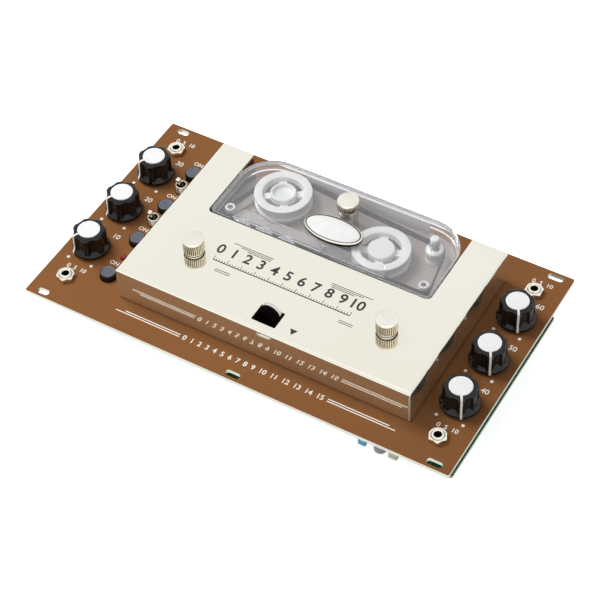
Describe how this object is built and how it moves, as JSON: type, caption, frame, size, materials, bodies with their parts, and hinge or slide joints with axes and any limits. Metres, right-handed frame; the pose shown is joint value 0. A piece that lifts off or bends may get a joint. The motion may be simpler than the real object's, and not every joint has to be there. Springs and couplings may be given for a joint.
{
  "type": "tape echo unit",
  "caption": "Rack-panel tape echo: knobs, jacks and buttons around a folded metal cover over a tape transport, with a clear two-reel tape cartridge set in its notch.",
  "frame": {"origin": "centre of the panel's outline, at the rest face of the rear bridge", "axes": "+X along the panel's long side, +Y from its near edge to its far edge, +Z out of the panel's face"},
  "size_m": [0.2232, 0.1284, 0.0561],
  "materials": {
    "panel": "satin",
    "board": "satin",
    "knob": "gloss",
    "zinc": "satin",
    "jack": "matt",
    "nickel": "polished",
    "button": "satin",
    "lamp": "gloss",
    "cover": "polished",
    "well": "satin",
    "clear": "clear",
    "reel": "satin",
    "tape": "satin",
    "liner": "frosted",
    "badge": "polished",
    "steel": "brushed",
    "head": "polished",
    "rubber": "matt",
    "brass": "satin"
  },
  "bodies": {
    "unit": {"front_panel": "panel", "circuit_board": "board", "pot_left_1": "zinc", "pot_left_2": "zinc", "pot_left_3": "zinc", "pot_right_1": "zinc", "pot_right_2": "zinc", "pot_right_3": "zinc", "jack_left_near": "jack", "jack_left_far": "jack", "jack_right_near": "jack", "jack_right_far": "jack", "jack_nut_left_near": "nickel", "jack_nut_left_far": "nickel", "jack_nut_right_near": "nickel", "jack_nut_right_far": "nickel", "toggle_switch_1": "nickel", "toggle_switch_2": "nickel", "status_lamp": "lamp", "cassette_well": "well", "capstan_bearing": "brass", "drive_belt": "rubber", "motor": "zinc", "rear_bridge": "zinc"},
    "knob_left_1": {"knob_left_1": "knob"},
    "knob_left_2": {"knob_left_2": "knob"},
    "knob_left_3": {"knob_left_3": "knob"},
    "knob_right_1": {"knob_right_1": "knob"},
    "knob_right_2": {"knob_right_2": "knob"},
    "knob_right_3": {"knob_right_3": "knob"},
    "button_1": {"button_1": "button"},
    "button_2": {"button_2": "button"},
    "button_3": {"button_3": "button"},
    "button_4": {"button_4": "button"},
    "toggle_1": {"toggle_lever_1": "nickel"},
    "toggle_2": {"toggle_lever_2": "nickel"},
    "cover": {"tape_cover": "cover"},
    "cover_screw_left": {"cover_screw_left": "nickel"},
    "cover_screw_right": {"cover_screw_right": "nickel"},
    "cassette": {"cassette_base": "clear", "cassette_lid": "clear", "cassette_badge": "badge", "liner_strip": "liner", "tape_loop": "tape", "tension_post": "reel", "tape_guide_left": "reel", "tape_guide_right": "reel"},
    "cassette_screw": {"cassette_screw": "nickel"},
    "reel_left": {"reel_left": "reel"},
    "reel_right": {"reel_right": "reel"},
    "carriage": {"head_carriage": "steel", "release_lever": "steel", "erase_head": "head", "record_head": "head", "playback_head": "head"},
    "pinch_arm": {"pinch_arm": "steel"},
    "pinch_roller": {"pinch_roller": "rubber"},
    "capstan": {"capstan": "steel", "flywheel": "brass"},
    "motor_pulley": {"motor_pulley": "brass"}
  },
  "joints": [
    {"name": "knob_left_1_turn", "type": "hinge", "parent": "unit", "child": "knob_left_1", "pos_m": [-0.099, -0.02705, 0.03], "axis": [0, 0, 1], "range_deg": [-291, 0]},
    {"name": "knob_left_2_turn", "type": "hinge", "parent": "unit", "child": "knob_left_2", "pos_m": [-0.099, 0.00115, 0.03], "axis": [0, 0, 1], "range_deg": [-291, 0]},
    {"name": "knob_left_3_turn", "type": "hinge", "parent": "unit", "child": "knob_left_3", "pos_m": [-0.099, 0.02935, 0.03], "axis": [0, 0, 1], "range_deg": [-291, 0]},
    {"name": "knob_right_1_turn", "type": "hinge", "parent": "unit", "child": "knob_right_1", "pos_m": [0.0982, -0.02705, 0.03], "axis": [0, 0, 1], "range_deg": [0, 291]},
    {"name": "knob_right_2_turn", "type": "hinge", "parent": "unit", "child": "knob_right_2", "pos_m": [0.0982, 0.00115, 0.03], "axis": [0, 0, 1], "range_deg": [0, 291]},
    {"name": "knob_right_3_turn", "type": "hinge", "parent": "unit", "child": "knob_right_3", "pos_m": [0.0982, 0.02935, 0.03], "axis": [0, 0, 1], "range_deg": [0, 291]},
    {"name": "button_1_press", "type": "slide", "parent": "unit", "child": "button_1", "axis": [0, 0, 1], "range_m": [-0.0015, 0], "stiffness_N_per_m": 200, "springref_m": 0.0005},
    {"name": "button_2_press", "type": "slide", "parent": "unit", "child": "button_2", "axis": [0, 0, 1], "range_m": [-0.0015, 0], "stiffness_N_per_m": 200, "springref_m": 0.0005},
    {"name": "button_3_press", "type": "slide", "parent": "unit", "child": "button_3", "axis": [0, 0, 1], "range_m": [-0.0015, 0], "stiffness_N_per_m": 200, "springref_m": 0.0005},
    {"name": "button_4_press", "type": "slide", "parent": "unit", "child": "button_4", "axis": [0, 0, 1], "range_m": [-0.0015, 0], "stiffness_N_per_m": 200, "springref_m": 0.0005},
    {"name": "toggle_1_tilt", "type": "hinge", "parent": "unit", "child": "toggle_1", "pos_m": [-0.0816, 0.00085, 0.0296], "axis": [-1, 0, 0], "range_deg": [0, 30]},
    {"name": "toggle_2_tilt", "type": "hinge", "parent": "unit", "child": "toggle_2", "pos_m": [-0.0816, 0.02585, 0.0296], "axis": [-1, 0, 0], "range_deg": [0, 30]},
    {"name": "cover_lift", "type": "slide", "parent": "unit", "child": "cover", "axis": [0, 0, 1], "range_m": [0, 0.03]},
    {"name": "cover_screw_left_turn", "type": "hinge", "parent": "cover", "child": "cover_screw_left", "pos_m": [-0.04375, -0.01985, 0.05], "axis": [0, 0, 1], "continuous": true},
    {"name": "cover_screw_right_turn", "type": "hinge", "parent": "cover", "child": "cover_screw_right", "pos_m": [0.05745, -0.01985, 0.05], "axis": [0, 0, 1], "continuous": true},
    {"name": "cassette_lift", "type": "slide", "parent": "unit", "child": "cassette", "axis": [0, 0, 1], "range_m": [0, 0.03]},
    {"name": "cassette_screw_turn", "type": "hinge", "parent": "cassette", "child": "cassette_screw", "pos_m": [0.00685, 0.03555, 0.05], "axis": [0, 0, 1], "continuous": true},
    {"name": "reel_left_spin", "type": "hinge", "parent": "cassette", "child": "reel_left", "pos_m": [-0.0276, 0.03375, 0.04], "axis": [0, 0, 1], "continuous": true},
    {"name": "reel_right_spin", "type": "hinge", "parent": "cassette", "child": "reel_right", "pos_m": [0.0308, 0.02395, 0.04], "axis": [0, 0, 1], "continuous": true},
    {"name": "carriage_slide", "type": "slide", "parent": "unit", "child": "carriage", "axis": [0, 1, 0], "range_m": [-0.006, 0]},
    {"name": "pinch_arm_swing", "type": "hinge", "parent": "carriage", "child": "pinch_arm", "pos_m": [0.01805, -0.00205, 0.038], "axis": [0, 0, 1], "range_deg": [0, 12], "stiffness_Nm_per_rad": 0.005, "springref_deg": -5.73},
    {"name": "pinch_roller_spin", "type": "hinge", "parent": "pinch_arm", "child": "pinch_roller", "pos_m": [0.00685, 0.0056, 0.04], "axis": [0, 0, 1], "continuous": true},
    {"name": "capstan_spin", "type": "hinge", "parent": "unit", "child": "capstan", "pos_m": [0.00685, 0.01225, 0.03], "axis": [0, 0, 1], "continuous": true},
    {"name": "motor_pulley_spin", "type": "hinge", "parent": "unit", "child": "motor_pulley", "pos_m": [0.03885, -0.03075, 0.02], "axis": [0, 0, 1], "continuous": true}
  ],
  "couplings": [
    {"joint": "reel_left_spin", "follows": "capstan_spin", "ratio": 0.0969},
    {"joint": "reel_right_spin", "follows": "capstan_spin", "ratio": 0.0969},
    {"joint": "pinch_roller_spin", "follows": "capstan_spin", "ratio": -0.2778},
    {"joint": "motor_pulley_spin", "follows": "capstan_spin", "ratio": 4.4}
  ]
}
